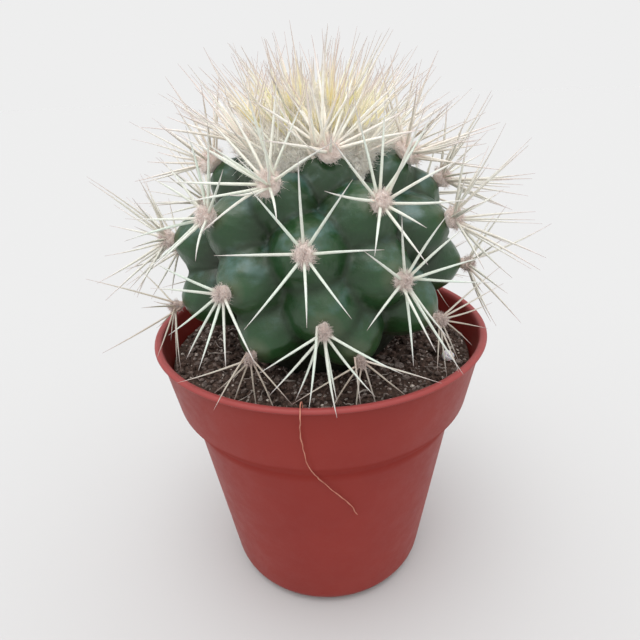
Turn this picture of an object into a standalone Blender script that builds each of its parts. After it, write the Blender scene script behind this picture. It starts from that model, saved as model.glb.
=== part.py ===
"""A round cactus with pale spines, growing in a small tapered nursery pot.

The model is in metres with +Z up. The origin is on the pot's axis, at the underside of its base,
and -Y is the front. Lengths below are in millimetres and angles in degrees; MM turns millimetres
into metres.
"""

import math
import random

import bmesh
import bpy
import numpy as np

MM = 0.001
GAP = 0.3  # clearance kept between two pieces that touch in the real plant
SEED = 11

# Pot: a thin moulded cup with a deep collar and a rolled lip. Sections are (radius, height).
POT_HEIGHT = 48.3
POT_WALL = 0.7
POT_SIDES = 48
BASE_RADIUS = 18.7
BASE_ROUND = 3.3
BASE_ROUND_STEPS = 4
BASE_THICKNESS = 1.0
WALL_LEAN = 6.0
WALL_SECTION = ((23.05, 33.4), (23.4, 34.2), (24.8, 36.1), (25.3, 36.9), (27.1, 47.5))
LIP_SECTION = ((27.6, 47.6), (27.8, 47.8), (27.7, 48.1), (27.4, 48.3), (26.7, 48.2))
LIP_RADIUS = 27.8
DRAIN_RADIUS = 1.8
DRAIN_CIRCLE = 10.5
DRAIN_SIDES = 12
DRAINS = 4

# Soil: fills the pot to a little below its rim and rises slightly towards the stem.
SOIL_TOP_AT_WALL = 43.2
SOIL_TOP_AT_STEM = 44.3
SOIL_CREST_RADIUS = 14.5
SOIL_SLOPE_POWER = 1.3
WELL_ROUND = 0.8  # softened edges of the hollow that the stem's foot stands in

# Stem: a squat egg whose surface stands out in a cone-shaped tubercle under each areole.
STEM_CENTRE_Z = 60.0
STEM_RADIUS = 16.6
STEM_RISE = 16.0
STEM_DROP = 21.5
STEM_FOOT_Z = 42.2
STEM_SIDES = 60
STEM_RINGS = 28
STEM_TOP_LATITUDE = 86
TUBERCLE_HEIGHT = 6.2
TUBERCLE_HEIGHT_CROWN = 2.8
TUBERCLE_REACH = 5.9
TUBERCLE_POWER = 1.75
FURROW_BLEND = 6
UPPER_LATITUDE = 40  # above this the tubercles stand closer together
UPPER_SHRINK = 0.85

# Spine clusters: a felt pad on each tubercle, with spines that taper to a point.
# Dome rings are (share of the radius, share of the height).
PAD_RADIUS = 1.9
PAD_RADIUS_OLD = 1.6  # on the older areoles, below PAD_LATITUDE
PAD_LATITUDE = 24
PAD_HEIGHT = 1.1
PAD_SIDES = 12
PAD_RINGS = ((0.86, 0.0), (1.0, 0.3), (0.8, 0.8), (0.35, 1.0))
PAD_SEAT = 0.35
SPINE_THICKNESS = 0.42
SPINE_INSET = 0.08
SPINE_LENGTH = 9.2
SPINE_LENGTH_CROWN = 12.2
CENTRAL_LENGTH = 12.4
SPINE_LEAN = 23.0
SPINE_LEAN_CROWN = 14.0
LEAN_SPREAD = 5.0
RADIAL_SPREAD = (0.9, 1.12)
RADIAL_SHARE = 0.8  # how far out on the pad the radial spines stand
CENTRAL_SHARE = 0.3
AREOLE_SPACING = 9.1

# Central spines as (clock angle, lean, length): for low, side and high areoles.
CENTRALS_LOW = ((268, 42, SPINE_LENGTH),)
CENTRALS_SIDE = ((90, 60, CENTRAL_LENGTH), (265, 52, CENTRAL_LENGTH))
CENTRALS_HIGH = ((85, 66, CENTRAL_LENGTH), (262, 50, SPINE_LENGTH))
CENTRAL_CLOCK_SPREAD = 14.0
CENTRAL_LEAN_SPREAD = 6.0
HIGH_LATITUDE = 30
SIDE_AZIMUTH = 58

# Room kept round a spine, and the changes tried, smallest first, until it has that room.
SPINE_CLEARANCE = 0.16
PAD_CLEARANCE = 0.35
RIM_CLEARANCE = 0.4
CLOCK_TRIES = (0, -4, 4, -8, 8, -12, 12, -16, 16)
LEAN_TRIES = (0, 5, -4, 10, 16, 22, 30)
LENGTH_TRIES = (1.0, 0.88, 0.76, 0.62)
TRY_COST = (8, 10, 1 / 6)  # a clock change, a lean change and a shortening that count the same
PROBES = (0.3, 0.45, 0.6, 0.75, 0.9, 1.0)
OWN_ROOTS = 0.25  # spines of one areole may stand close over this share of their length

# The areoles of the front, each as its azimuth from the front (+ to the right), its latitude on
# the stem, and the clock angles of its spines (0 to the right, 90 towards the crown).
FRONT_AREOLES = (
    (-4, 17.5, (2, 52, 90, 128, 180, 231, 308)),
    (1, -5.5, (202, 222, 249, 280, 312, 338)),
    (-24, -15, (200, 222, 248, 275, 300, 328)),
    (13, -16, (205, 232, 258, 285, 318, 340)),
    (-31, 3.5, (148, 178, 222, 246, 290, 322)),
    (-20, 41, (7, 60, 85, 127, 142, 165, 200, 250, 300)),
    (24.5, 32, (14, 50, 85, 112, 145, 180, 230, 265, 341)),
    (26.5, 6.5, (12, 41, 65, 104, 145, 205, 258, 298, 351)),
    (10, 57, (20, 60, 95, 130, 175, 215, 243, 322, 355)),
    (-43.5, 27, (30, 75, 98, 140, 162, 198, 214, 250, 318)),
    (45, -10, (8, 32, 62, 250, 272, 296, 318, 342)),
    (60, 20, (5, 48, 90, 135, 162, 222, 270, 315)),
    (70, 49, (0, 40, 80, 120, 160, 205, 255, 310)),
    (85, 32, (10, 55, 95, 140, 180, 228, 272, 318)),
    (78, -2, (0, 45, 92, 138, 185, 225, 262, 310)),
    (-90, 45, (8, 50, 92, 135, 178, 220, 262, 312)),
    (-78, 12, (5, 50, 90, 130, 175, 222, 268, 315)),
    (-75, 62, (0, 45, 90, 135, 180, 230, 280, 320)),
    (-70, -10, (30, 150, 190, 222, 250, 278, 308, 345)),
)
# The rest is filled in rows, each a latitude, a count and the azimuth of its first areole.
BACK_ROWS = (
    (-14, 9, 120),
    (2, 9, 100),
    (18, 9, 120),
    (33, 9, 100),
    (47, 8, 112),
    (61, 6, 60),
    (66, 3, 150),
)
BACK_CLOCK = (4, 48, 90, 134, 178, 222, 268, 312)
BACK_TWIST = 11

# Crown: young areoles run together into one dome of wool, thick with upright spines.
# Spine rings are (share of the radius, count, lean).
CROWN_RADIUS = 6.2
CROWN_HEIGHT = 2.4
CROWN_SIDES = 20
CROWN_RINGS = ((0.94, 0.0), (1.0, 0.12), (0.8, 0.6), (0.5, 0.88), (0.2, 1.0))
CROWN_SPINES = ((0.92, 12, 34.0), (0.66, 9, 52.0), (0.36, 5, 70.0))
CROWN_SPINE_LENGTH = 13.6
CROWN_LENGTH_SPREAD = (0.85, 1.1)
CROWN_CLOCK_SPREAD = 6.0
CROWN_LEDGE = (68, 74, 80, 86)  # latitudes of the stem's top, which the dome stands clear of
CROWN_ROOM = (6.7, 81.1)  # radius and height that no other spine enters

# Two small things on the soil and the pot.
PERLITE_PLACE = (20.5, -8.4)
PERLITE_RADIUS = 1.15
PERLITE_ROUGHNESS = (0.85, 1.05)
PERLITE_FLATNESS = 0.8
FIBRE_THICKNESS = 0.22
FIBRE_OFF = 0.5  # its middle stands this far off the pot and the soil
FIBRE_STEPS = 3
FIBRE_FOOT = 1.1
# Where it crosses the lip, as (radius from LIP_RADIUS, height).
FIBRE_ROUTE_LIP = ((-2.2, 46.5), (-2.1, 48.1), (-0.9, 48.9), (0.5, 48.1), (0.5, 47.1))
FIBRE_AZIMUTH = -6.0
# Points of the fine root that hangs over the rim: azimuth from the front, and height.
FIBRE_ROUTE = (
    (-6.4, 45.0),
    (-6.5, 42.5),
    (-5.8, 39.5),
    (-4.2, 37.2),
    (-2.4, 34.0),
    (2.2, 31.1),
    (6.7, 28.8),
    (9.6, 26.9),
    (12.0, 24.8),
)


def clear_scene():
    for item in list(bpy.data.objects):
        bpy.data.objects.remove(item, do_unlink=True)


def material(name, colour, roughness):
    made = bpy.data.materials.new(name)
    made.use_nodes = True
    shader = made.node_tree.nodes["Principled BSDF"]
    shader.inputs["Base Color"].default_value = (*colour, 1.0)
    shader.inputs["Roughness"].default_value = roughness
    shader.inputs["Metallic"].default_value = 0.0
    made.diffuse_color = (*colour, 1.0)
    return made


def object_from(name, mesh_data, finish=None, smooth_below=None):
    """An object from a bmesh in millimetres, smooth across edges under an angle if one is given."""
    bmesh.ops.scale(mesh_data, vec=(MM, MM, MM), verts=mesh_data.verts)
    mesh = bpy.data.meshes.new(name)
    mesh_data.to_mesh(mesh)
    mesh_data.free()
    if finish is not None:
        mesh.materials.append(finish)
    if smooth_below is not None:
        mesh.shade_smooth()
        mesh.set_sharp_from_angle(angle=math.radians(smooth_below))
    made = bpy.data.objects.new(name, mesh)
    bpy.context.scene.collection.objects.link(made)
    return made


def turned(profile, sides):
    """A closed bmesh turned about Z from (radius, height) points whose first and last are on the axis."""
    shape = bmesh.new()
    rings = []
    for radius, height in profile[1:-1]:
        turns = (2 * math.pi * i / sides for i in range(sides))
        places = [(radius * math.cos(a), radius * math.sin(a), height) for a in turns]
        rings.append([shape.verts.new(place) for place in places])
    for lower, upper in zip(rings, rings[1:]):
        for i in range(sides):
            j = (i + 1) % sides
            shape.faces.new((lower[i], lower[j], upper[j], upper[i]))
    for ring, (_, height) in ((rings[0][::-1], profile[0]), (rings[-1], profile[-1])):
        middle = shape.verts.new((0.0, 0.0, height))
        for i in range(sides):
            shape.faces.new((ring[i], ring[(i + 1) % sides], middle))
    return shape


def pot_outline():
    """Outer outline of the pot as (radius, height), from the base's edge to under the lip."""
    points = []
    for step in range(BASE_ROUND_STEPS + 1):
        turn = math.radians(-90 + (90 - WALL_LEAN) * step / BASE_ROUND_STEPS)
        radius = BASE_RADIUS - BASE_ROUND + BASE_ROUND * math.cos(turn)
        points.append((radius, BASE_ROUND * (1 + math.sin(turn))))
    return points + list(WALL_SECTION)


def radius_at(outline, height):
    radii, heights = zip(*outline)
    return float(np.interp(height, heights, radii))


def inner_radius(height):
    return radius_at(pot_outline(), height) - POT_WALL


def make_pot(finish):
    outline = pot_outline()
    inside = [point for point in outline if point[1] > BASE_THICKNESS + GAP]
    inner = [(radius - POT_WALL, height) for radius, height in reversed(inside)]
    floor = [(BASE_RADIUS - BASE_ROUND, BASE_THICKNESS), (0, BASE_THICKNESS)]
    shape = turned([(0, 0), *outline, *LIP_SECTION, *inner, *floor], POT_SIDES)
    pot = object_from("pot", shape, finish, 40)
    for index in range(DRAINS):
        turn = 2 * math.pi * (index + 0.5) / DRAINS
        drill = bmesh.new()
        bmesh.ops.create_cone(
            drill,
            cap_ends=True,
            segments=DRAIN_SIDES,
            radius1=DRAIN_RADIUS,
            radius2=DRAIN_RADIUS,
            depth=4 * BASE_THICKNESS,
        )
        place = (DRAIN_CIRCLE * math.cos(turn), DRAIN_CIRCLE * math.sin(turn), 0)
        bmesh.ops.translate(drill, vec=place, verts=drill.verts)
        cutter = object_from(f"drain_cutter_{index + 1}", drill)
        cutter.hide_render = True
        cutter.display_type = "WIRE"
        cut = pot.modifiers.new(f"drain_{index + 1}", "BOOLEAN")
        cut.operation = "DIFFERENCE"
        cut.object = cutter


def soil_height(radius):
    """Height of the soil at a distance from the axis, outside the stem."""
    reach = inner_radius(SOIL_TOP_AT_WALL) - SOIL_CREST_RADIUS
    share = min(max((radius - SOIL_CREST_RADIUS) / reach, 0.0), 1.0)
    fall = SOIL_TOP_AT_STEM - SOIL_TOP_AT_WALL
    return SOIL_TOP_AT_STEM - fall * share**SOIL_SLOPE_POWER


def make_soil(finish):
    floor = BASE_THICKNESS + GAP
    edge = inner_radius(SOIL_TOP_AT_WALL) - GAP
    profile = [(0, floor), (BASE_RADIUS - BASE_ROUND - GAP, floor)]
    for _, height in WALL_SECTION:
        if height < SOIL_TOP_AT_WALL:
            profile.append((inner_radius(height) - GAP, height))
    profile.append((edge, SOIL_TOP_AT_WALL))
    for share in (0.75, 0.5, 0.25, 0.0):
        radius = SOIL_CREST_RADIUS + (edge - SOIL_CREST_RADIUS) * share
        profile.append((radius, soil_height(radius)))
    foot = STEM_FOOT_Z - GAP
    well = stem_radius_at(SOIL_TOP_AT_STEM) + GAP
    profile.append((well + WELL_ROUND, SOIL_TOP_AT_STEM - GAP))
    profile.append((well, foot + WELL_ROUND))
    profile.append((well - WELL_ROUND, foot))
    profile.append((0, foot))
    object_from("soil", turned(profile, POT_SIDES), finish, 50)


def tubercle_height(latitude):
    share = max(math.sin(math.radians(latitude)), 0.0) ** 2
    return TUBERCLE_HEIGHT + (TUBERCLE_HEIGHT_CROWN - TUBERCLE_HEIGHT) * share


def pad_radius(latitude):
    return PAD_RADIUS if latitude >= PAD_LATITUDE else PAD_RADIUS_OLD


def closeness(latitude):
    """How much smaller the upper tubercles' reach and spacing are."""
    return UPPER_SHRINK if latitude >= UPPER_LATITUDE else 1.0


def on_egg(azimuth, latitude, lift=0.0):
    """The point over the stem's egg at an azimuth from the front and a latitude, raised by lift."""
    turn = math.radians(azimuth - 90)
    tilt = math.radians(latitude)
    rise = STEM_RISE if latitude > 0 else STEM_DROP
    ring = (STEM_RADIUS + lift) * math.cos(tilt)
    height = STEM_CENTRE_Z + (rise + lift) * math.sin(tilt)
    return np.array([ring * math.cos(turn), ring * math.sin(turn), height])


def stem_radius_at(height):
    """Radius of the egg below its middle, without tubercles."""
    return STEM_RADIUS * math.sqrt(1 - ((STEM_CENTRE_Z - height) / STEM_DROP) ** 2)


class Areole:
    """A growing point: its place, and the directions out, to the right and towards the crown."""

    def __init__(self, azimuth, latitude, clock):
        self.azimuth = azimuth
        self.latitude = latitude
        self.clock = clock
        self.lift = tubercle_height(latitude)
        self.reach = TUBERCLE_REACH * closeness(latitude)
        self.root = on_egg(azimuth, latitude)
        self.tip = on_egg(azimuth, latitude, self.lift)
        turn = math.radians(azimuth - 90)
        tilt = math.radians(latitude)
        around = np.array([math.cos(turn), math.sin(turn), 0.0])
        self.out = math.cos(tilt) * around + math.sin(tilt) * np.array([0.0, 0.0, 1.0])
        self.right = np.array([-math.sin(turn), math.cos(turn), 0.0])
        self.up = np.cross(self.out, self.right)

    def direction(self, clock, lean):
        around = math.radians(clock)
        above = math.radians(lean)
        flat = math.cos(around) * self.right + math.sin(around) * self.up
        return math.cos(above) * flat + math.sin(above) * self.out


def all_areoles():
    areoles = [Areole(*entry) for entry in FRONT_AREOLES]
    for latitude, count, first in BACK_ROWS:
        for index in range(count):
            azimuth = (first + 360 * index / count + 180) % 360 - 180
            twist = (index * 17 + latitude) % (2 * BACK_TWIST + 1) - BACK_TWIST
            areole = Areole(azimuth, latitude, tuple(angle + twist for angle in BACK_CLOCK))
            spacing = AREOLE_SPACING * closeness(latitude)
            if all(np.linalg.norm(areole.tip - other.tip) > spacing for other in areoles):
                areoles.append(areole)
    return areoles


def surface_point(azimuth, latitude, areoles):
    """A point of the stem's skin: the egg raised by its tubercles, whose flanks blend in furrows."""
    foot = on_egg(azimuth, latitude)
    total = 0.0
    for areole in areoles:
        share = np.linalg.norm(foot - areole.root) / areole.reach
        if share < 1:
            total += (areole.lift * (1 - share**TUBERCLE_POWER)) ** FURROW_BLEND
    return on_egg(azimuth, latitude, total ** (1 / FURROW_BLEND))


def make_stem(areoles, finish):
    lowest = -math.degrees(math.asin((STEM_CENTRE_Z - STEM_FOOT_Z) / STEM_DROP))
    shape = bmesh.new()
    rings = []
    for ring in range(STEM_RINGS):
        latitude = lowest + (STEM_TOP_LATITUDE - lowest) * ring / (STEM_RINGS - 1)
        azimuths = (360 * i / STEM_SIDES for i in range(STEM_SIDES))
        rings.append([shape.verts.new(surface_point(a, latitude, areoles)) for a in azimuths])
    for lower, upper in zip(rings, rings[1:]):
        for i in range(STEM_SIDES):
            j = (i + 1) % STEM_SIDES
            shape.faces.new((lower[i], lower[j], upper[j], upper[i]))
    top = shape.verts.new(on_egg(0, 90))
    for i in range(STEM_SIDES):
        shape.faces.new((rings[-1][i], rings[-1][(i + 1) % STEM_SIDES], top))
    shape.faces.new(rings[0][::-1])
    object_from("cactus_stem", shape, finish, 70)


def segment_distance(a0, a1, b0, b1):
    """Shortest distance between two segments."""
    u = a1 - a0
    v = b1 - b0
    w = a0 - b0
    uu, uv, vv, uw, vw = u @ u, u @ v, v @ v, u @ w, v @ w
    slope = uu * vv - uv * uv
    s = np.clip((uv * vw - vv * uw) / slope, 0, 1) if slope > 1e-9 else 0.0
    t = np.clip((uv * s + vw) / vv, 0, 1)
    s = np.clip((uv * t - uw) / uu, 0, 1)
    return float(np.linalg.norm(w + s * u - t * v))


def inside_stem(point, areoles):
    azimuth = math.degrees(math.atan2(point[1], point[0])) + 90
    rise = STEM_RISE if point[2] > STEM_CENTRE_Z else STEM_DROP
    ring = math.hypot(point[0], point[1]) / STEM_RADIUS
    latitude = math.degrees(math.atan2((point[2] - STEM_CENTRE_Z) / rise, ring))
    centre = np.array([0, 0, STEM_CENTRE_Z])
    skin = np.linalg.norm(surface_point(azimuth, latitude, areoles) - centre)
    return np.linalg.norm(point - centre) < skin + GAP


def meets_surroundings(base, tip, areoles, own):
    """Whether a spine touches the stem, the soil, the pot, the crown or another areole's pad."""
    for share in PROBES:
        point = base + (tip - base) * share
        ring = math.hypot(point[0], point[1])
        if own.latitude < 90 and ring < CROWN_ROOM[0] and point[2] < CROWN_ROOM[1]:
            return True
        if ring < inner_radius(POT_HEIGHT) and point[2] < soil_height(ring) + GAP:
            return True
        over_wall = ring > inner_radius(SOIL_TOP_AT_WALL) - RIM_CLEARANCE
        if over_wall and point[2] < POT_HEIGHT + RIM_CLEARANCE:
            return True
        if inside_stem(point, areoles):
            return True
    for areole in areoles:
        if areole is not own:
            low = areole.tip + areole.out * 0.4 * PAD_HEIGHT
            high = areole.tip + areole.out * 0.6 * PAD_HEIGHT
            if segment_distance(base, tip, low, high) < PAD_RADIUS + PAD_CLEARANCE:
                return True
    return False


def nudges():
    """Changes of clock angle, lean and length to try, the smallest first."""
    tries = [
        (clock, lean, length)
        for clock in CLOCK_TRIES
        for lean in LEAN_TRIES
        for length in LENGTH_TRIES
    ]
    turn, tilt, shorten = TRY_COST
    return sorted(tries, key=lambda t: abs(t[0]) / turn + abs(t[1]) / tilt + (1 - t[2]) / shorten)


def place_spines(areole, wanted, faces, taken, areoles):
    """The spines of one areole as (face, tip), each clear of everything placed before it."""
    free = {face: np.array(face.calc_center_median()) for face in faces}
    segments = []
    placed = []
    for clock, lean, length, from_middle in wanted:
        flat = areole.direction(clock, 0)
        ideal = areole.tip + flat * from_middle + areole.out * PAD_HEIGHT
        face = min(free, key=lambda f: np.linalg.norm(free[f] - ideal))
        base = free[face]
        near = [s for s in taken if np.linalg.norm(s[0] - base) < 2.4 * CROWN_SPINE_LENGTH]
        for turn, raise_by, shorten in nudges():
            tip = base + areole.direction(clock + turn, lean + raise_by) * length * shorten
            room = SPINE_THICKNESS + SPINE_CLEARANCE
            if any(segment_distance(base, tip, *other) < room for other in near):
                continue
            beyond = base + (tip - base) * OWN_ROOTS
            if any(segment_distance(beyond, tip, *other) < SPINE_THICKNESS for other in segments):
                continue
            if meets_surroundings(base, tip, areoles, areole):
                continue
            del free[face]
            segments.append((base, tip))
            placed.append((face, tip))
            break
    taken.extend(segments)
    return placed


def wanted_spines(areole, rng):
    """An areole's radials and centrals, as (clock, lean, length, distance from the middle)."""
    height = max(areole.latitude, 0) / 60
    length = SPINE_LENGTH + (SPINE_LENGTH_CROWN - SPINE_LENGTH) * height**2
    lean = SPINE_LEAN + SPINE_LEAN_CROWN * height
    spines = []
    for clock in areole.clock:
        tilt = lean + rng.uniform(-LEAN_SPREAD, LEAN_SPREAD)
        far = length * rng.uniform(*RADIAL_SPREAD)
        spines.append((clock, tilt, far, RADIAL_SHARE * pad_radius(areole.latitude)))
    centrals = CENTRALS_LOW
    if areole.latitude > HIGH_LATITUDE:
        centrals = CENTRALS_HIGH
    elif abs(areole.azimuth) > SIDE_AZIMUTH:
        centrals = CENTRALS_SIDE
    for clock, steep, far in centrals:
        turn = clock + rng.uniform(-CENTRAL_CLOCK_SPREAD, CENTRAL_CLOCK_SPREAD)
        tilt = steep + rng.uniform(-CENTRAL_LEAN_SPREAD, CENTRAL_LEAN_SPREAD)
        spines.append((turn, tilt, far, CENTRAL_SHARE * pad_radius(areole.latitude)))
    return spines


def add_spine(shape, face, tip):
    """Grows a spine from a face: a small inner face, drawn out to a point."""
    middle = face.calc_center_median()
    bmesh.ops.inset_individual(shape, faces=[face], thickness=SPINE_INSET)
    for corner in face.verts:
        corner.co = middle + (corner.co - middle).normalized() * SPINE_THICKNESS / math.sqrt(2)
    apex = bmesh.ops.poke(shape, faces=[face])["verts"][0]
    apex.co = tip


def padded_dome(areole, radius, height, rings, sides):
    """A dome on an areole with a flat underside, as a bmesh, with the faces that spines can grow from."""
    shape = bmesh.new()
    levels = []
    for share, level in rings:
        ring = []
        for i in range(sides):
            flat = areole.direction(360 * (i + 0.5) / sides, 0) * radius * share
            ring.append(shape.verts.new(areole.tip + flat + areole.out * height * level))
        levels.append(ring)
    faces = []
    for lower, upper in zip(levels, levels[1:]):
        for i in range(sides):
            j = (i + 1) % sides
            faces.append(shape.faces.new((lower[i], lower[j], upper[j], upper[i])))
    shape.faces.new(reversed(levels[0]))
    shape.faces.new(levels[-1])
    return shape, faces


def make_cluster(name, areole, dome, wanted, taken, areoles, finish):
    shape, faces = padded_dome(areole, *dome)
    for face, tip in place_spines(areole, wanted, faces, taken, areoles):
        add_spine(shape, face, tip)
    object_from(name, shape, finish)


def crown_spines(rng):
    spines = []
    for share, count, lean in CROWN_SPINES:
        for index in range(count):
            clock = 360 * index / count + rng.uniform(-CROWN_CLOCK_SPREAD, CROWN_CLOCK_SPREAD)
            tilt = lean + rng.uniform(-LEAN_SPREAD, LEAN_SPREAD)
            length = CROWN_SPINE_LENGTH * rng.uniform(*CROWN_LENGTH_SPREAD)
            spines.append((clock, tilt, length, share * CROWN_RADIUS))
    return spines


def make_spines(areoles, finish):
    rng = random.Random(SEED)
    taken = []
    ledge = [
        surface_point(azimuth, latitude, areoles)[2]
        for azimuth in range(0, 360, 10)
        for latitude in CROWN_LEDGE
    ]
    crown = Areole(0, 90, ())
    crown.tip = np.array([0, 0, max(ledge) + GAP])
    dome = (CROWN_RADIUS, CROWN_HEIGHT, CROWN_RINGS, CROWN_SIDES)
    make_cluster("crown_tuft", crown, dome, crown_spines(rng), taken, areoles, finish)
    for areole in areoles:
        areole.tip = areole.tip + areole.out * PAD_SEAT
    for number, areole in enumerate(areoles, 1):
        name = f"spine_cluster_{number:02d}"
        dome = (pad_radius(areole.latitude), PAD_HEIGHT, PAD_RINGS, PAD_SIDES)
        make_cluster(name, areole, dome, wanted_spines(areole, rng), taken, areoles, finish)


def make_perlite(finish):
    rng = random.Random(SEED)
    shape = bmesh.new()
    bmesh.ops.create_icosphere(shape, subdivisions=1, radius=PERLITE_RADIUS)
    for corner in shape.verts:
        corner.co *= rng.uniform(*PERLITE_ROUGHNESS)
        corner.co.z *= PERLITE_FLATNESS
    ground = soil_height(math.hypot(*PERLITE_PLACE))
    lowest = min(corner.co.z for corner in shape.verts)
    place = (*PERLITE_PLACE, ground + GAP - lowest)
    bmesh.ops.translate(shape, vec=place, verts=shape.verts)
    object_from("perlite_grain", shape, finish)


def smooth_route(points, per_span):
    """Points along a Catmull-Rom curve through the given ones."""
    points = [points[0], *points, points[-1]]
    route = []
    for before, start, end, after in zip(points, points[1:], points[2:], points[3:]):
        for step in range(per_span):
            t = step / per_span
            a = 2 * start
            b = (end - before) * t
            c = (2 * before - 5 * start + 4 * end - after) * t**2
            d = (3 * start - before - 3 * end + after) * t**3
            route.append(0.5 * (a + b + c + d))
    return route + [points[-1]]


def make_fibre(finish):
    outline = pot_outline()
    inside = inner_radius(SOIL_TOP_AT_WALL) - FIBRE_FOOT
    route = [(FIBRE_AZIMUTH, inside, SOIL_TOP_AT_WALL + FIBRE_OFF)]
    for from_lip, height in FIBRE_ROUTE_LIP:
        route.append((FIBRE_AZIMUTH, LIP_RADIUS + from_lip, height))
    for azimuth, height in FIBRE_ROUTE:
        route.append((azimuth, radius_at(outline, height) + FIBRE_OFF, height))
    points = []
    for azimuth, radius, height in route:
        turn = math.radians(azimuth - 90)
        points.append(np.array([radius * math.cos(turn), radius * math.sin(turn), height]))
    curve = bpy.data.curves.new("root_fibre", "CURVE")
    curve.dimensions = "3D"
    curve.bevel_depth = FIBRE_THICKNESS / 2 * MM
    curve.bevel_resolution = 0
    curve.use_fill_caps = True
    smooth = smooth_route(points, FIBRE_STEPS)
    spline = curve.splines.new("POLY")
    spline.points.add(len(smooth) - 1)
    for corner, point in zip(spline.points, smooth):
        corner.co = (*(point * MM), 1.0)
    curve.materials.append(finish)
    made = bpy.data.objects.new("root_fibre", curve)
    bpy.context.scene.collection.objects.link(made)


def main():
    clear_scene()
    terracotta = material("pot_plastic", (0.26, 0.045, 0.035), 0.45)
    earth = material("soil_peat", (0.045, 0.032, 0.028), 0.95)
    green = material("stem_skin", (0.045, 0.10, 0.06), 0.45)
    straw = material("spine_straw", (0.72, 0.70, 0.58), 0.55)
    white = material("perlite_white", (0.8, 0.8, 0.78), 0.9)
    root = material("root_beige", (0.55, 0.30, 0.20), 0.7)
    areoles = all_areoles()
    make_pot(terracotta)
    make_soil(earth)
    make_stem(areoles, green)
    make_spines(areoles, straw)
    make_perlite(white)
    make_fibre(root)


main()
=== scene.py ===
"""Looks for a potted round cactus: a green tubercled stem under stars of pale spines, in a red pot.

Shapes below are worked out in millimetres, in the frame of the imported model: +Z up, the pot's axis at
the origin, -Y the front. MM turns them into metres. The places of the areoles and the spines are read
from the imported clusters, so they follow the CAD model.
"""

import math
import random

import bmesh
import bpy
import numpy as np
from mathutils import Matrix, Vector, noise


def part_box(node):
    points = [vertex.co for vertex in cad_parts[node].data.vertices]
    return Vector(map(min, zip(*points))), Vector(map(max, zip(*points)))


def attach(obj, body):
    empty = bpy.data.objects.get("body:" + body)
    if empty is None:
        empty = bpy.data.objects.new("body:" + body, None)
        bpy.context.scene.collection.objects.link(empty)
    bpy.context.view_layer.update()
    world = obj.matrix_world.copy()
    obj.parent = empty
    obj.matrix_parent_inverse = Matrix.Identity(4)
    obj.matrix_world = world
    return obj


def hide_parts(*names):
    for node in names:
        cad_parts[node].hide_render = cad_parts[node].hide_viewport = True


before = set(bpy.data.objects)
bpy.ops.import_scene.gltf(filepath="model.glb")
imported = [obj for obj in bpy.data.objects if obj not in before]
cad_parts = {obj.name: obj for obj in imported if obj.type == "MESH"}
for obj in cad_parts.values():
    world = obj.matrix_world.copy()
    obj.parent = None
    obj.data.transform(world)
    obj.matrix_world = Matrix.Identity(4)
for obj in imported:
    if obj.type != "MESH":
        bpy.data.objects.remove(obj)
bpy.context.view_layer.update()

MM = 0.001
SEED = 5
ROOT = "root"

# Camera, at the photograph's place, which was fitted to the pot's rim and base: slopes in degrees.
CAMERA_PLACE = (0.0, -79.7, 84.55)
CAMERA_DOWN = 24.63
CAMERA_ROLL = 2.27
CAMERA_LENS = 28.33

# Stem, as in the CAD model: a squat egg raised in a cone-shaped tubercle under each areole.
STEM_CENTRE_Z = 60.0
STEM_RADIUS = 16.6
STEM_RISE = 16.0
STEM_DROP = 21.5
STEM_FOOT_Z = 42.2
STEM_TOP_LATITUDE = 88
STEM_SIDES = 360
STEM_RINGS = 190
TUBERCLE_HEIGHT = 6.2
TUBERCLE_HEIGHT_CROWN = 2.8
TUBERCLE_REACH = 5.9
TUBERCLE_POWER = 1.75
FURROW_BLEND = 3.4
GROOVE_WIDTH = 0.34
GROOVE_FLOOR = 0.2  # added to the lifts that are compared, so that bare skin counts as groove
SKIN_WAVES = ((0.22, 2.4), (0.04, 0.7))  # (height, size) of the skin's unevenness
UPPER_LATITUDE = 40
UPPER_SHRINK = 0.85
PAD_MIDDLE = 0.9  # height of a CAD pad's middle over the tubercle's tip

# Felt pads: their radius and paleness at a row of latitudes, then their shape and their hairs.
PAD_LATITUDES = (-15, -6, 4, 18, 32, 45)
PAD_SIZES = (0.45, 0.75, 0.88, 1.2, 1.18, 1.7)
PAD_SHADES = (0.0, 0.3, 0.5, 0.75, 0.85, 1.0)
PAD_RAISE = 0.8
PAD_DEPTH = 1.2
PAD_TALL = 1.22
PAD_SIDES = 30
PAD_LUMPS = 0.16
PAD_HAIRS = 520
PAD_HAIR_LENGTH = 0.35
PAD_HAIR_GAIN = 0.32  # more length for each millimetre of the pad's radius
PAD_HAIR_THICKNESS = 0.026
PAD_HAIR_SPREAD = 0.7

# Spines. Tones are ranges from dull (0) over pinkish (0.2) to pale (1).
SPINE_LEAST_LENGTH = 2.5
SPINE_STEPS = 10
SPINE_SIDES = 7
SPINE_FOOT = 0.9  # how far a spine's foot reaches back into its pad
SPINE_BEND = 0.035  # the greatest bend, as a share of the length
SPINE_LEAST_RADIUS = 0.02
SPINE_THICKNESS = 0.29
SPINE_THICKNESS_GAIN = 0.010  # for each millimetre of length
SIDE_AZIMUTH = 44
LOW_LATITUDE = -9
LOW_WIDTH = 0.7
FRONT_TONES = (0.5, 1.0)
SIDE_TONES = (0.15, 0.35)
LOW_TONES = (0.0, 0.15)
CROWN_TONES = (0.3, 1.0)
YOUNG_LATITUDE = 25
YOUNG_SPAN = 45
YOUTH_FRONT = 0.8
YOUTH_SIDE = 0.3

# Fine spines beyond the CAD model's, on high areoles and on those at the sides.
EXTRA_HIGH_LATITUDE = 36
EXTRA_HIGH = 8
EXTRA_SIDE_LATITUDE = 5
EXTRA_SIDE = 9
EXTRA_LEANS = (28, 75)
EXTRA_THICKNESSES = (0.26, 0.42)
EXTRA_LENGTHS = (9.0, 14.5)

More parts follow.
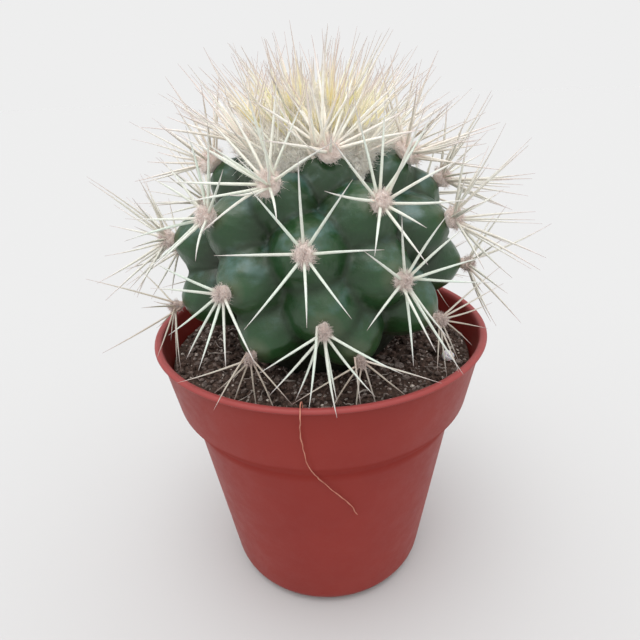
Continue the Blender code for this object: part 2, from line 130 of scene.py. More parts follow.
# Long spines that reach out over the pot's rim: (cluster, tip).
LONG_SPINES = (
    ("spine_cluster_02", (1.6, -29.0, 48.1)),
    ("spine_cluster_08", (18.0, -24.5, 50.8)),
)
LONG_THICKNESS = 0.42

# Crown. Each ring of young areoles is (radius, areoles, spines in each, lowest lean, highest lean,
# youth of the spines, share of the full length).
CROWN_THICKNESS = 0.36
CROWN_YOUTH = 0.8
YOUNG_RINGS = (
    (10.0, 13, 8, 22, 62, 0.65, 1.0),
    (7.0, 9, 12, 36, 70, 0.9, 1.0),
    (4.2, 6, 12, 52, 82, 1.0, 1.0),
    (1.8, 4, 9, 64, 88, 1.0, 0.75),
)
YOUNG_CLOCK_SPREAD = 38
YOUNG_ROOT_SPREAD = 0.9
YOUNG_LENGTHS = (8.5, 14.0)
YOUNG_THICKNESSES = (0.24, 0.42)
DOME_RAISE = 1.9  # height of the young areoles on the axis
DOME_FALL = 0.033  # for each square millimetre of distance from it
WOOL_DROP = 3.4
WOOL_RADIUS = 10.3
WOOL_TALL = 7.3
WOOL_SIDES = 90
WOOL_LUMPS = 0.6
WOOL_SHADE = 0.9
WOOL_HAIR_SHADE = 0.75
WOOL_HAIR_THICKNESS = 0.038
WOOL_EDGE = 0.3  # upward part of the normal where long hairs give way to short ones
WOOL_LONG = (11000, 3.2, 0.5)  # hairs, length, spread
WOOL_SHORT = (5000, 1.0, 0.6)

# Pot, as in the CAD model: sections are (radius, height).
POT_HEIGHT = 48.3
POT_WALL = 0.7
POT_SIDES = 192
BASE_RADIUS = 18.7
BASE_ROUND = 3.3
BASE_THICKNESS = 1.0
WALL_SECTION = ((23.05, 33.4), (23.4, 34.2), (24.8, 36.1), (25.3, 36.9), (27.1, 47.5))
LIP_SECTION = ((27.6, 47.6), (27.8, 47.8), (27.7, 48.1), (27.4, 48.3), (26.7, 48.2))
LIP_RADIUS = 27.8
EDGE_ROUND = 0.6
EDGE_STEPS = 5
DRAIN_RADIUS = 1.8
DRAIN_CIRCLE = 10.5
DRAINS = 4

# Soil, and what lies loose on it. A size is (least, how much more at most); other pairs are ranges.
SOIL_TOP_AT_WALL = 43.2
SOIL_TOP_AT_STEM = 44.3
SOIL_CREST_RADIUS = 14.5
SOIL_SLOPE_POWER = 1.3
SOIL_GAP = 0.3
SOIL_SIDES = 260
SOIL_TOP_RINGS = 46
CRUMBS = 2600
CRUMB_SIZES = (0.2, 0.6)
CRUMB_SHADES = (0.0, 0.85)
GRITS = 1500
GRIT_SIZES = (0.14, 0.3)
GRIT_SHADES = (0.7, 0.8, 0.87, 0.92, 0.98)
STRANDS = 170
STRAND_MARGIN = 2.4
STRAND_CLEAR = 0.3
STRAND_LENGTHS = (1.2, 4.6)
STRAND_THICKNESSES = (0.05, 0.14)
STRAND_TAPER = (0.5, 0.9, 1, 1, 1, 0.9, 0.5)
STRAND_SHADES = (0.45, 0.97)

# Fine root over the rim, as in the CAD model
FIBRE_OFF = 0.5
FIBRE_AZIMUTH = -6.0
FIBRE_LIP = ((-2.2, 46.5), (-2.1, 48.1), (-0.9, 48.9), (0.5, 48.1), (0.5, 47.1))
FIBRE_ROUTE = (
    (-6.4, 45.0),
    (-6.5, 42.5),
    (-5.8, 39.5),
    (-4.2, 37.2),
    (-2.4, 34.0),
    (2.2, 31.1),
    (6.7, 28.8),
    (9.6, 26.9),
    (12.0, 24.8),
)
FIBRE_RADIUS = 0.075
FIBRE_UNEVEN = 0.03
FIBRE_TIP_RADIUS = 0.03
FIBRE_WAVE = 0.14
FIBRE_SPAN_STEPS = 9

# Studio: the floor in metres, the sky's strength, and the key light.
FLOOR_RADIUS = 6.0
FLOOR_SIDES = 96
SKY_HORIZON = 0.855
SKY_TOP = 1.7
SKY_BAND = 0.22  # height of direction below which the sky stays as it is at the horizon
KEY_PLACE = (-0.12, -0.25, 1.0)
KEY_SPREAD = 45
KEY_STRENGTH = 1.1


# ------------------------------------------------------------------ meshes


class Shape:
    """A mesh in the making: corners in millimetres, faces, and values that the materials read."""

    VALUES = ("along", "shade", "youth")

    def __init__(self):
        self.points = []
        self.faces = []
        self.values = {name: [] for name in self.VALUES}

    def add(self, points, faces, **values):
        first = len(self.points)
        self.points.extend(points)
        self.faces.extend(tuple(first + i for i in face) for face in faces)
        for name in self.VALUES:
            given = values.get(name, 0.0)
            self.values[name].extend(np.broadcast_to(given, len(points)).tolist())

    def piece(self, name, slot, finish, replaced=(), smooth=True):
        """The finished object, riding on the plant's one body."""
        mesh = bpy.data.meshes.new(name)
        corners = [tuple(float(c) * MM for c in point) for point in self.points]
        mesh.from_pydata(corners, [], self.faces)
        for key, given in self.values.items():
            layer = mesh.attributes.new(key, "FLOAT", "POINT")
            layer.data.foreach_set("value", np.array(given, np.float32))
        mesh.materials.append(finish)
        if smooth:
            mesh.shade_smooth()
            mesh.set_sharp_from_angle(angle=math.radians(60))
        made = bpy.data.objects.new(name, mesh)
        bpy.context.scene.collection.objects.link(made)
        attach(made, ROOT)
        if replaced:
            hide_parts(*replaced)
        return made


def unit(vector):
    """A vector's direction."""
    return vector / np.linalg.norm(vector)


def tube(line, radii, sides):
    """Corners and faces of a closed tube along a line of points, and how far along each corner is."""
    line = np.array(line, float)
    ahead = np.gradient(line, axis=0)
    ahead /= np.linalg.norm(ahead, axis=1)[:, None]
    helper = np.eye(3)[np.argmin(np.abs(line[-1] - line[0]))]
    across = np.cross(helper, ahead)
    across /= np.linalg.norm(across, axis=1)[:, None]
    over = np.cross(ahead, across)
    turns = 2 * math.pi * np.arange(sides) / sides
    ring = across[:, None, :] * np.cos(turns)[None, :, None]
    ring = ring + over[:, None, :] * np.sin(turns)[None, :, None]
    points = line[:, None, :] + ring * np.array(radii)[:, None, None]
    faces = []
    for row in range(len(line) - 1):
        for i in range(sides):
            j = (i + 1) % sides
            a = row * sides
            faces.append((a + i, a + j, a + sides + j, a + sides + i))
    last = (len(line) - 1) * sides
    faces.append(tuple(range(sides))[::-1])
    faces.append(tuple(range(last, last + sides)))
    along = np.repeat(np.linspace(0, 1, len(line)), sides)
    return points.reshape(-1, 3), faces, along


def lathe(profile, sides):
    """Corners and faces of a closed shape: an outline of (radius, height) turned about Z."""
    turns = 2 * math.pi * np.arange(sides) / sides
    points = []
    for radius, height in profile[1:-1]:
        ring = np.stack([radius * np.cos(turns), radius * np.sin(turns), np.full(sides, height)], 1)
        points.append(ring)
    points = np.concatenate(points)
    faces = []
    rows = len(profile) - 2
    for row in range(rows - 1):
        for i in range(sides):
            j = (i + 1) % sides
            a = row * sides
            faces.append((a + i, a + j, a + sides + j, a + sides + i))
    low, high = len(points), len(points) + 1
    points = np.concatenate([points, [(0, 0, profile[0][1]), (0, 0, profile[-1][1])]])
    last = (rows - 1) * sides
    for i in range(sides):
        j = (i + 1) % sides
        faces.append((j, i, low))
        faces.append((last + i, last + j, high))
    return points, faces


def rounded(profile, size, steps):
    """A profile with each inner corner eased over a length."""
    eased = [profile[0]]
    for before, corner, after in zip(profile, profile[1:], profile[2:]):
        a, b, c = (np.array(p, float) for p in (before, corner, after))
        cut = min(size, 0.45 * np.linalg.norm(a - b), 0.45 * np.linalg.norm(c - b))
        start = b + unit(a - b) * cut
        end = b + unit(c - b) * cut
        for t in np.linspace(0, 1, steps):
            eased.append(tuple((1 - t) ** 2 * start + 2 * t * (1 - t) * b + t**2 * end))
    return eased + [profile[-1]]


def smooth_route(points, per_span):
    """Points along a Catmull-Rom curve through the given ones."""
    points = [np.array(p, float) for p in points]
    points = [points[0], *points, points[-1]]
    route = []
    for before, start, end, after in zip(points, points[1:], points[2:], points[3:]):
        for step in range(per_span):
            t = step / per_span
            a = 2 * start
            b = (end - before) * t
            c = (2 * before - 5 * start + 4 * end - after) * t**2
            d = (3 * start - before - 3 * end + after) * t**3
            route.append(0.5 * (a + b + c + d))
    return route + [points[-1]]


def ripple(point, size, octaves=3):
    """Smooth noise from about -1 to 1 that varies over a size in millimetres."""
    return noise.fractal(Vector(point) / size, 0.6, 2.0, octaves)


# ------------------------------------------------------------------ materials


def material(name, roughness):
    """A new material with its node tree and its shader."""
    made = bpy.data.materials.new(name)
    made.use_nodes = True
    shader = made.node_tree.nodes["Principled BSDF"]
    shader.inputs["Roughness"].default_value = roughness
    return made, made.node_tree, shader


def texture(tree, kind, scale, detail=4.0, roughness=0.6):
    """A noise or Voronoi texture in object space, whose scale is in repeats for each millimetre."""
    coords = tree.nodes.new("ShaderNodeTexCoord")
    made = tree.nodes.new(kind)
    made.inputs["Scale"].default_value = scale / MM
    if kind == "ShaderNodeTexNoise":
        made.inputs["Detail"].default_value = detail
        made.inputs["Roughness"].default_value = roughness
    tree.links.new(coords.outputs["Object"], made.inputs["Vector"])
    return made


def value_of(tree, name):
    """One of the values that Shape stores with each corner."""
    made = tree.nodes.new("ShaderNodeAttribute")
    made.attribute_name = name
    return made.outputs["Fac"]


def ramp(tree, source, stops):
    """A colour ramp over a value; stops are (position, colour)."""
    made = tree.nodes.new("ShaderNodeValToRGB")
    elements = made.color_ramp.elements
    while len(elements) < len(stops):
        elements.new(0.5)
    for element, (position, colour) in zip(elements, stops):
        element.position = position
        element.color = (*colour, 1.0)
    tree.links.new(source, made.inputs["Fac"])
    return made.outputs["Color"]


def grey_ramp(tree, source, stops):
    """A ramp whose stops are (position, level)."""
    return ramp(tree, source, [(position, (level,) * 3) for position, level in stops])


def mix(tree, factor, first, second, mode="MIX"):
    """Mixes two colours; each input is a socket, a colour or a number."""
    made = tree.nodes.new("ShaderNodeMix")
    made.data_type = "RGBA"
    made.blend_type = mode
    for socket, given in (("Factor", factor), ("A", first), ("B", second)):
        target = next(s for s in made.inputs if s.name == socket and s.enabled)
        if isinstance(given, bpy.types.NodeSocket):
            tree.links.new(given, target)
        elif isinstance(given, tuple):
            target.default_value = (*given, 1.0)
        else:
            target.default_value = given
    return next(s for s in made.outputs if s.enabled)


def bumps(tree, shader, layers):
    """Chains bump nodes; layers are (height socket, strength, distance in millimetres)."""
    normal = None
    for height, strength, distance in layers:
        made = tree.nodes.new("ShaderNodeBump")
        made.inputs["Strength"].default_value = strength
        made.inputs["Distance"].default_value = distance * MM
        tree.links.new(height, made.inputs["Height"])
        if normal is not None:
            tree.links.new(normal, made.inputs["Normal"])
        normal = made.outputs["Normal"]
    tree.links.new(normal, shader.inputs["Normal"])


def glow_through(shader, weight, reach, size):
    """Lets light through a thin thing, as far in red, green and blue as reach says, in mm."""
    shader.inputs["Subsurface Weight"].default_value = weight
    shader.inputs["Subsurface Radius"].default_value = reach
    shader.inputs["Subsurface Scale"].default_value = size * MM


def stem_material():
    """Dark green waxy skin with painted shade in the furrows and a painted grey-blue sheen where it faces
    up.
    """
    made, tree, shader = material("stem_skin", 0.38)
    # Painted shade and sheen: darker down into the furrows, paler on the tubercles' tips.
    skin = ramp(
        tree,
        value_of(tree, "along"),
        [
            (0.0, (0.010, 0.020, 0.007)),
            (0.3, (0.013, 0.036, 0.010)),
            (0.6, (0.012, 0.048, 0.013)),
            (0.88, (0.016, 0.062, 0.018)),
            (1.0, (0.080, 0.110, 0.060)),
        ],
    )
    cloud = texture(tree, "ShaderNodeTexNoise", 0.22, 3.0)
    tone = ramp(tree, cloud.outputs["Fac"], [(0.3, (0.7, 0.8, 0.7)), (0.7, (1.25, 1.15, 1.2))])
    toned = mix(tree, 1.0, skin, tone, "MULTIPLY")
    # Painted reflection: a grey-blue sheen, in patches, on what faces up.
    facing = tree.nodes.new("ShaderNodeNewGeometry")
    parts = tree.nodes.new("ShaderNodeSeparateXYZ")
    tree.links.new(facing.outputs["Normal"], parts.inputs["Vector"])
    upward = grey_ramp(tree, parts.outputs["Z"], [(0.25, 0.0), (0.75, 1.0)])
    sheen_noise = texture(tree, "ShaderNodeTexNoise", 0.30, 5.0)
    patches = grey_ramp(tree, sheen_noise.outputs["Fac"], [(0.46, 0.0), (0.64, 1.0)])
    painted_sheen_mask = mix(tree, 1.0, upward, patches, "MULTIPLY")
    sheen_painted = mix(tree, painted_sheen_mask, toned, (0.054, 0.122, 0.105))
    specks = texture(tree, "ShaderNodeTexVoronoi", 3.2)
    speck_place = grey_ramp(tree, specks.outputs["Distance"], [(0.05, 0.25), (0.16, 0.0)])
    speckled = mix(tree, speck_place, sheen_painted, (0.12, 0.19, 0.10))
    # Painted shade: darker still along the furrows' floors, where the two highest tubercles meet.
    groove = value_of(tree, "shade")
    groove_shade_mask = grey_ramp(tree, groove, [(0.1, 0.0), (1.0, 0.52)])
    groove_shaded = mix(tree, groove_shade_mask, speckled, (0.010, 0.014, 0.007))
    tree.links.new(groove_shaded, shader.inputs["Base Color"])
    grain = texture(tree, "ShaderNodeTexNoise", 2.4, 4.0)
    tree.links.new(grey_ramp(tree, groove, [(0.1, 0.31), (0.9, 0.7)]), shader.inputs["Roughness"])
    shader.inputs["Specular IOR Level"].default_value = 0.55
    shader.inputs["Subsurface Weight"].default_value = 0.04
    shader.inputs["Subsurface Scale"].default_value = 1.0 * MM
    bumps(tree, shader, [(grain.outputs["Fac"], 0.35, 0.12), (specks.outputs["Distance"], 0.2, 0.05)])
    return made


def spine_material():
    """Ivory spines with darker pinkish points: paler towards the crown, and yellow in its middle."""
    made, tree, shader = material("spine", 0.45)
    along = value_of(tree, "along")
    old = ramp(
        tree,
        along,
        [
            (0.0, (0.62, 0.57, 0.52)),
            (0.12, (0.64, 0.70, 0.63)),
            (0.60, (0.63, 0.71, 0.65)),
            (0.88, (0.59, 0.59, 0.57)),
            (1.0, (0.34, 0.28, 0.27)),
        ],
    )
    young = ramp(
        tree,
        along,
        [
            (0.0, (0.96, 0.91, 0.56)),
            (0.25, (0.95, 0.87, 0.34)),
            (0.5, (0.93, 0.90, 0.64)),
            (0.75, (0.70, 0.65, 0.60)),
            (1.0, (0.40, 0.32, 0.31)),
        ],
    )
    pale = ramp(
        tree,
        along,
        [
            (0.0, (0.95, 0.92, 0.84)),
            (0.3, (0.97, 0.96, 0.87)),
            (0.6, (0.92, 0.92, 0.86)),
            (0.8, (0.74, 0.69, 0.66)),
            (1.0, (0.40, 0.32, 0.31)),
        ],
    )
    youth = value_of(tree, "youth")
    lightened = mix(tree, grey_ramp(tree, youth, [(0.0, 0.0), (0.6, 1.0)]), old, pale)
    aged = mix(tree, grey_ramp(tree, youth, [(0.65, 0.0), (1.0, 1.0)]), lightened, young)
    tint = ramp(
        tree,
        value_of(tree, "shade"),
        [
            (0.0, (0.66, 0.52, 0.48)),
            (0.1, (0.84, 0.70, 0.66)),
            (0.2, (1.06, 0.92, 0.92)),
            (0.5, (1.04, 0.98, 0.98)),
            (1.0, (0.97, 1.0, 0.98)),
        ],
    )
    tinted = mix(tree, 1.0, aged, tint, "MULTIPLY")
    streaks = texture(tree, "ShaderNodeTexNoise", 1.6, 3.0)
    streak = ramp(tree, streaks.outputs["Fac"], [(0.3, (0.90, 0.87, 0.84)), (0.7, (1.03, 1.03, 1.02))])
    tree.links.new(mix(tree, 1.0, tinted, streak, "MULTIPLY"), shader.inputs["Base Color"])
    glow_through(shader, 0.4, (1.0, 1.0, 0.95), 0.6)
    bumps(tree, shader, [(streaks.outputs["Fac"], 0.3, 0.05)])
    return made


def felt_material(name, low, high):
    """Matted wool, warmer in its hollows."""
    made, tree, shader = material(name, 0.95)
    clumps = texture(tree, "ShaderNodeTexNoise", 1.5, 6.0, 0.7)
    colour = ramp(tree, clumps.outputs["Fac"], [(0.32, low), (0.66, high)])
    fade = ramp(tree, value_of(tree, "shade"), [(0.0, (0.62, 0.54, 0.50)), (1.0, (1.08, 1.06, 1.04))])
    tree.links.new(mix(tree, 1.0, colour, fade, "MULTIPLY"), shader.inputs["Base Color"])
    shader.inputs["Sheen Weight"].default_value = 0.5
    glow_through(shader, 0.5, (1.0, 0.97, 0.93), 0.8)
    bumps(tree, shader, [(clumps.outputs["Fac"], 0.8, 0.25)])
    return made


def soil_material(name):
    """Peat: dark brown crumbs, some redder, some grey, a few pale."""
    made, tree, shader = material(name, 0.95)
    kinds = ramp(
        tree,
        value_of(tree, "shade"),
        [
            (0.0, (0.030, 0.020, 0.016)),
            (0.3, (0.075, 0.050, 0.040)),
            (0.55, (0.125, 0.085, 0.070)),
            (0.75, (0.190, 0.155, 0.140)),
            (0.9, (0.32, 0.28, 0.26)),
            (1.0, (0.60, 0.55, 0.50)),
        ],
    )
    grain = texture(tree, "ShaderNodeTexNoise", 2.2, 6.0, 0.7)
    fleck = ramp(
        tree,
        grain.outputs["Fac"],
        [(0.3, (0.45, 0.42, 0.40)), (0.5, (0.95, 0.92, 0.9)), (0.72, (2.0, 1.9, 1.8))],
    )
    tree.links.new(mix(tree, 1.0, kinds, fleck, "MULTIPLY"), shader.inputs["Base Color"])
    shader.inputs["Specular IOR Level"].default_value = 0.25
    bumps(tree, shader, [(grain.outputs["Fac"], 0.9, 0.25)])
    return made


def pot_material():
    """Thin red-brown satin plastic with a painted pinker highlight along its lip, matt under the collar,
    dusty in places.
    """
    made, tree, shader = material("pot_plastic", 0.42)
    cloud = texture(tree, "ShaderNodeTexNoise", 0.05, 3.0)
    body = ramp(tree, cloud.outputs["Fac"], [(0.3, (0.232, 0.023, 0.017)), (0.7, (0.264, 0.029, 0.021))])
    height = value_of(tree, "along")
    # Painted highlight: paler and pinker along the top of the lip.
    lip = grey_ramp(tree, height, [(0.980, 0.0), (0.994, 0.5)])
    under = grey_ramp(tree, height, [(0.67, 0.0), (0.70, 1.0), (0.755, 1.0), (0.772, 0.0)])
    lip_highlighted = mix(tree, lip, body, (0.34, 0.085, 0.085))
    scuff = texture(tree, "ShaderNodeTexNoise", 0.35, 6.0, 0.75)
    worn = grey_ramp(tree, scuff.outputs["Fac"], [(0.58, 0.0), (0.80, 0.18)])
    dusty = mix(tree, worn, lip_highlighted, (0.30, 0.10, 0.08))
    tree.links.new(dusty, shader.inputs["Base Color"])
    rough = grey_ramp(tree, scuff.outputs["Fac"], [(0.35, 0.40), (0.7, 0.54)])
    rougher = mix(tree, under, rough, (1.0, 1.0, 1.0))
    tree.links.new(rougher, shader.inputs["Roughness"])
    fine = texture(tree, "ShaderNodeTexNoise", 1.4, 3.0)
    shader.inputs["Specular IOR Level"].default_value = 0.18
    shader.inputs["Subsurface Weight"].default_value = 0.06
    shader.inputs["Subsurface Scale"].default_value = 0.8 * MM
    bumps(tree, shader, [(fine.outputs["Fac"], 0.12, 0.06), (scuff.outputs["Fac"], 0.1, 0.12)])
    return made


def perlite_material():
    """Foamed white mineral, greyer in its pits."""
    made, tree, shader = material("perlite", 0.9)
    pits = texture(tree, "ShaderNodeTexVoronoi", 3.5)
    colour = ramp(tree, pits.outputs["Distance"], [(0.0, (0.50, 0.48, 0.50)), (0.35, (0.86, 0.85, 0.88))])
    tree.links.new(colour, shader.inputs["Base Color"])
    shader.inputs["Subsurface Weight"].default_value = 0.2
    shader.inputs["Subsurface Scale"].default_value = 0.5 * MM
    bumps(tree, shader, [(pits.outputs["Distance"], 0.7, 0.15)])
    return made


def root_material():
    """Dry red-brown root."""
    made, tree, shader = material("root", 0.75)
    patches = texture(tree, "ShaderNodeTexNoise", 0.6, 4.0)
    colour = ramp(tree, patches.outputs["Fac"], [(0.35, (0.40, 0.13, 0.085)), (0.65, (0.58, 0.26, 0.18))])
    tree.links.new(colour, shader.inputs["Base Color"])
    bumps(tree, shader, [(patches.outputs["Fac"], 0.5, 0.05)])
    return made


def floor_material():
    """Matt pale floor, as bright as the sky at the horizon."""
    made, _, shader = material("studio_floor", 0.95)
    shader.inputs["Base Color"].default_value = (0.51, 0.51, 0.51, 1.0)
    shader.inputs["Specular IOR Level"].default_value = 0.0
    return made


# ------------------------------------------------------------------ areoles


def tubercle_height(latitude):
    """Height of a tubercle over the egg, which falls towards the crown."""
    share = max(math.sin(math.radians(latitude)), 0.0) ** 2
    return TUBERCLE_HEIGHT + (TUBERCLE_HEIGHT_CROWN - TUBERCLE_HEIGHT) * share


def on_egg(azimuth, latitude, lift=0.0):
    """The point over the stem's egg at an azimuth from the front and a latitude, raised by lift."""
    turn = math.radians(azimuth - 90)
    tilt = math.radians(latitude)
    rise = STEM_RISE if latitude > 0 else STEM_DROP
    ring = (STEM_RADIUS + lift) * math.cos(tilt)
    height = STEM_CENTRE_Z + (rise + lift) * math.sin(tilt)
    return np.array([ring * math.cos(turn), ring * math.sin(turn), height])


def stem_radius_at(height):
    """Radius of the egg below its middle, without tubercles."""
    return STEM_RADIUS * math.sqrt(1 - ((STEM_CENTRE_Z - height) / STEM_DROP) ** 2)


class Areole:
    """A growing point: its place on the stem, the directions round it, and the CAD model's spines there."""

    def __init__(self, azimuth, latitude, spines=()):
        self.azimuth = azimuth
        self.latitude = latitude
        self.spines = spines
        self.lift = tubercle_height(latitude)
        self.reach = TUBERCLE_REACH * (UPPER_SHRINK if latitude >= UPPER_LATITUDE else 1.0)
        self.root = on_egg(azimuth, latitude)
        self.tip = on_egg(azimuth, latitude, self.lift)
        turn = math.radians(azimuth - 90)
        tilt = math.radians(latitude)
        around = np.array([math.cos(turn), math.sin(turn), 0.0])
        self.out = math.cos(tilt) * around + math.sin(tilt) * np.array([0.0, 0.0, 1.0])
        self.right = np.array([-math.sin(turn), math.cos(turn), 0.0])
        self.up = np.cross(self.out, self.right)

    def direction(self, clock, lean):
        """A direction at a clock angle round the areole, raised off the skin by lean."""
        around = math.radians(clock)
        above = math.radians(lean)
        flat = math.cos(around) * self.right + math.sin(around) * self.up
        return math.cos(above) * flat + math.sin(above) * self.out


def read_cluster(node):
    """The middle of a packed cluster's pad, and its spines as (base, tip)."""
    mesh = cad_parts[node].data
    corners = np.array([v.co[:] for v in mesh.vertices]) / MM
    points, index = np.unique(np.round(corners, 3), axis=0, return_inverse=True)
    index = index.reshape(-1)
    beside = [set() for _ in points]
    for edge in mesh.edges:
        a, b = (int(index[v]) for v in edge.vertices)
        if a != b:
            beside[a].add(b)
            beside[b].add(a)
    # A spine's tip is far from its neighbours, which are the spine's base; a pad's corners are near.
    spines = []
    pad = []
    for place, others in zip(points, beside):
        away = [np.linalg.norm(points[o] - place) for o in others]
        if min(away) > SPINE_LEAST_LENGTH:
            spines.append((points[sorted(others)].mean(0), place))
        elif max(away) < SPINE_LEAST_LENGTH:
            pad.append(place)
    low, high = np.min(pad, 0), np.max(pad, 0)
    return (low + high) / 2, spines


def find_areole(node):
    """The areole that a packed cluster stands on, from where its pad is."""
    middle, spines = read_cluster(node)
    azimuth = math.degrees(math.atan2(middle[1], middle[0])) + 90
    azimuth = (azimuth + 180) % 360 - 180
    ring = math.hypot(middle[0], middle[1])
    height = middle[2] - STEM_CENTRE_Z
    latitude = math.degrees(math.atan2(height, ring))
    for _ in range(8):
        lift = tubercle_height(latitude) + PAD_MIDDLE
        rise = STEM_RISE if height > 0 else STEM_DROP
        latitude = math.degrees(math.atan2(height * (STEM_RADIUS + lift), ring * (rise + lift)))
    return Areole(azimuth, latitude, spines)


CLUSTERS = sorted(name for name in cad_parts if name.startswith("spine_cluster"))
AREOLES = [find_areole(name) for name in CLUSTERS]


# ------------------------------------------------------------------ stem


def make_stem(finish):
    """The stem, as a grid of latitudes and azimuths lifted over the egg by the nearest tubercles."""
    lowest = -math.degrees(math.asin((STEM_CENTRE_Z - STEM_FOOT_Z) / STEM_DROP))
    latitudes = np.linspace(lowest, STEM_TOP_LATITUDE, STEM_RINGS)
    azimuths = 360 * np.arange(STEM_SIDES) / STEM_SIDES
    shape = Shape()
    points = []
    rises = []
    grooves = []
    for latitude in latitudes:
        feet = np.array([on_egg(azimuth, latitude) for azimuth in azimuths])
        lifts = []
        for areole in AREOLES:
            share = np.linalg.norm(feet - areole.root, axis=1) / areole.reach
            lifts.append(areole.lift * np.clip(1 - share**TUBERCLE_POWER, 0, None))
        lifts = np.sort(lifts, axis=0)
        total = (lifts**FURROW_BLEND).sum(0) ** (1 / FURROW_BLEND)
        # A furrow runs where the two highest tubercles are equally high.
        evenness = (lifts[-2] + GROOVE_FLOOR) / (lifts[-1] + GROOVE_FLOOR)
        grooves.extend(np.exp(-(((1 - evenness) / GROOVE_WIDTH) ** 2)))
        for azimuth, foot, lift in zip(azimuths, feet, total):
            uneven = sum(height * ripple(foot, size) for height, size in SKIN_WAVES)
            points.append(on_egg(azimuth, latitude, lift + uneven))
            rises.append(lift / tubercle_height(latitude))
    faces = []
    for row in range(STEM_RINGS - 1):
        for i in range(STEM_SIDES):
            j = (i + 1) % STEM_SIDES
            a = row * STEM_SIDES
            faces.append((a + i, a + j, a + STEM_SIDES + j, a + STEM_SIDES + i))
    top = len(points)
    points.append(on_egg(0, 90))
    rises.append(0.0)
    grooves.append(1.0)
    last = (STEM_RINGS - 1) * STEM_SIDES
    for i in range(STEM_SIDES):
        faces.append((last + i, last + (i + 1) % STEM_SIDES, top))
    faces.append(tuple(range(STEM_SIDES))[::-1])
    # stem_skin reads the rises and the grooves to paint shade into the furrows and sheen on the tips.
    shape.add(points, faces, along=np.array(rises), shade=np.array(grooves))
    shape.piece("stem", "stem_skin", finish, ["cactus_stem"])


# ------------------------------------------------------------------ spines and wool


def add_spine(shape, base, tip, thickness, rng, youth, tones):
    """A tapered, barely curved spine with a swollen foot."""
    base = np.array(base)
    tip = np.array(tip)
    length = np.linalg.norm(tip - base)
    ahead = unit(tip - base)
    side = unit(np.cross(ahead, [rng.uniform(-1, 1) for _ in range(3)]))
    steps = np.linspace(0, 1, SPINE_STEPS)
    bend = rng.uniform(0.0, SPINE_BEND) * length
    line = base + np.outer(steps, tip - base) + np.outer(bend * 4 * steps * (1 - steps), side)
    line[0] = base - ahead * SPINE_FOOT
    radii = thickness / 2 * ((1 - steps**2.2) ** 0.9 + 0.25 * np.exp(-((steps / 0.06) ** 2)))
    radii = np.maximum(radii, SPINE_LEAST_RADIUS)
    points, faces, along = tube(line, radii, SPINE_SIDES)
    shape.add(points, faces, along=along, shade=rng.uniform(*tones), youth=youth)


def add_hairs(shape, places, rng, length, thickness, spread, shade):
    """Short bent hairs, each from a (foot, direction)."""
    for foot, ahead in places:
        wander = np.array([rng.gauss(0, spread) for _ in range(3)])
        way = unit(ahead + wander)
        curl = np.array([rng.gauss(0, 0.5) for _ in range(3)])
        far = length * rng.uniform(0.5, 1.3)
        end = foot + way * far * 0.85 + curl * far * 0.35
        line = [foot - way * 0.15, foot + way * far * 0.5, end]
        points, faces, along = tube(line, (thickness, thickness * 0.8, thickness * 0.3), 3)
        shape.add(points, faces, along=along, shade=shade + rng.uniform(-0.15, 0.25))


def add_mound(shape, areole, middle, across, along_out, tall, sides, lumps, shade):
    """A lumpy ellipsoid over an areole. Returns (place, direction) all over its outer surface."""
    rings = sides // 2
    points = []
    outward = []
    for row in range(1, rings):
        turn = math.pi * (row / rings - 0.5)
        for i in range(sides):
            around = math.radians(360 * (i + 0.5 * (row % 2)) / sides)
            flat = math.cos(around) * areole.right + tall * math.sin(around) * areole.up
            way = flat * math.cos(turn) * across + areole.out * math.sin(turn) * along_out
            normal = unit(flat * math.cos(turn) / across + areole.out * math.sin(turn) / along_out)
            place = middle + way
            points.append(place + normal * lumps * ripple(place, 0.9))
            outward.append(normal)
    surface = [(p, n) for p, n in zip(points, outward) if n @ areole.out > -0.15]
    faces = []
    for row in range(rings - 2):
        for i in range(sides):
            j = (i + 1) % sides
            a = row * sides
            faces.append((a + i, a + j, a + sides + j, a + sides + i))
    last = (rings - 2) * sides
    low, high = len(points), len(points) + 1
    points += [middle - areole.out * along_out, middle + areole.out * along_out]
    for i in range(sides):
        j = (i + 1) % sides
        faces.append((j, i, low))
        faces.append((last + i, last + j, high))
    shape.add(points, faces, shade=shade)
    return surface


def extra_spines(areole):
    """How many fine spines an areole has beyond the CAD model's."""
    if areole.latitude > EXTRA_HIGH_LATITUDE:
        return EXTRA_HIGH
    if abs(areole.azimuth) > SIDE_AZIMUTH and areole.latitude > EXTRA_SIDE_LATITUDE:
        return EXTRA_SIDE
    return 0


def make_spines(number, node, areole, finish):
    """One areole's spines: the CAD model's, and the fine and long ones beyond them."""
    rng = random.Random(SEED * 1000 + number)
    aside = abs(areole.azimuth) > SIDE_AZIMUTH
    youth = min(max((areole.latitude - YOUNG_LATITUDE) / YOUNG_SPAN, 0.0), 1.0)
    youth *= YOUTH_SIDE if aside else YOUTH_FRONT
    tones = SIDE_TONES if aside else FRONT_TONES
    width = 1.0
    if areole.latitude < LOW_LATITUDE:
        tones = LOW_TONES
        width = LOW_WIDTH
    shape = Shape()
    for base, tip in areole.spines:
        thickness = SPINE_THICKNESS + SPINE_THICKNESS_GAIN * np.linalg.norm(tip - base)
        add_spine(shape, base, tip, thickness * width, rng, youth, tones)
    for _ in range(extra_spines(areole)):
        way = areole.direction(rng.uniform(0, 360), rng.uniform(*EXTRA_LEANS))
        base = areole.tip + areole.out * PAD_RAISE + (way - areole.out) * 0.8
        thickness = rng.uniform(*EXTRA_THICKNESSES)
        add_spine(shape, base, base + way * rng.uniform(*EXTRA_LENGTHS), thickness, rng, youth, tones)
    for owner, place in LONG_SPINES:
        if node == owner:
            tip = np.array(place)
            foot = areole.tip + areole.out * 1.0
            add_spine(shape, foot + unit(tip - foot), tip, LONG_THICKNESS, rng, youth, CROWN_TONES)
    shape.piece(f"spines_{number:02d}", "spine_straw", finish, [node])
    return rng


